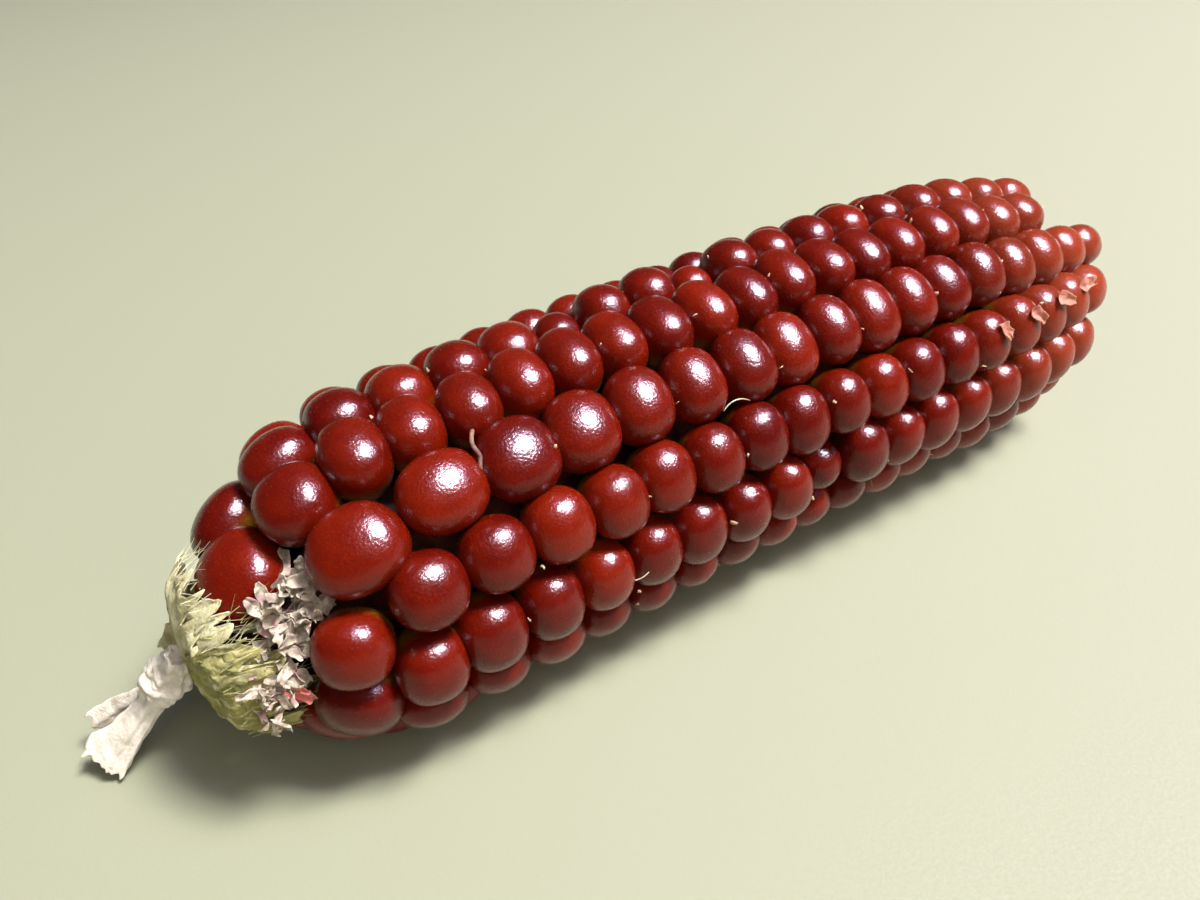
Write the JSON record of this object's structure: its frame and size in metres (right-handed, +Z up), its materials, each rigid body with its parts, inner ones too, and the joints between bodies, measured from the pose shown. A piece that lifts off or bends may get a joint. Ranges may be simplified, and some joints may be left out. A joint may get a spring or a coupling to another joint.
{
  "type": "corn cob",
  "caption": "Small ear of dark red pearl popcorn lying on its side, kernels in rows on the cob, with a dry shank stub, husk remnants, chaff and silk at the butt.",
  "frame": {"origin": "middle of the ear's footprint on the surface that it lies on", "axes": "+X from the shank to the tip of the ear, +Z up from the surface"},
  "size_m": [0.1006, 0.0282, 0.028],
  "materials": {
    "kernel_skin": "waxy semi-gloss dark red kernel skin, slightly translucent",
    "cob_tissue": "dry matt cob tissue",
    "husk_tissue": "soft yellow-green fibrous husk base",
    "dry_shank": "dry white fibrous shank",
    "chaff_paper": "thin papery chaff",
    "silk_thread": "dry silk hair"
  },
  "bodies": {
    "root": {"cob": "cob_tissue", "kernel_row_01": "kernel_skin", "kernel_row_02": "kernel_skin", "kernel_row_03": "kernel_skin", "kernel_row_04": "kernel_skin", "kernel_row_05": "kernel_skin", "kernel_row_06": "kernel_skin", "kernel_row_07": "kernel_skin", "kernel_row_08": "kernel_skin", "kernel_row_09": "kernel_skin", "kernel_row_10": "kernel_skin", "kernel_row_11": "kernel_skin", "kernel_row_12": "kernel_skin", "kernel_row_13": "kernel_skin", "kernel_row_14": "kernel_skin", "husk_collar": "husk_tissue", "shank": "dry_shank", "husk_lobe": "dry_shank", "husk_flap": "dry_shank", "chaff_scale_01": "chaff_paper", "chaff_scale_02": "chaff_paper", "chaff_scale_03": "chaff_paper", "chaff_scale_04": "chaff_paper", "chaff_scale_05": "chaff_paper", "chaff_scale_06": "chaff_paper", "silk_hair_01": "silk_thread", "silk_hair_02": "silk_thread", "silk_hair_03": "silk_thread"}
  },
  "joints": []
}
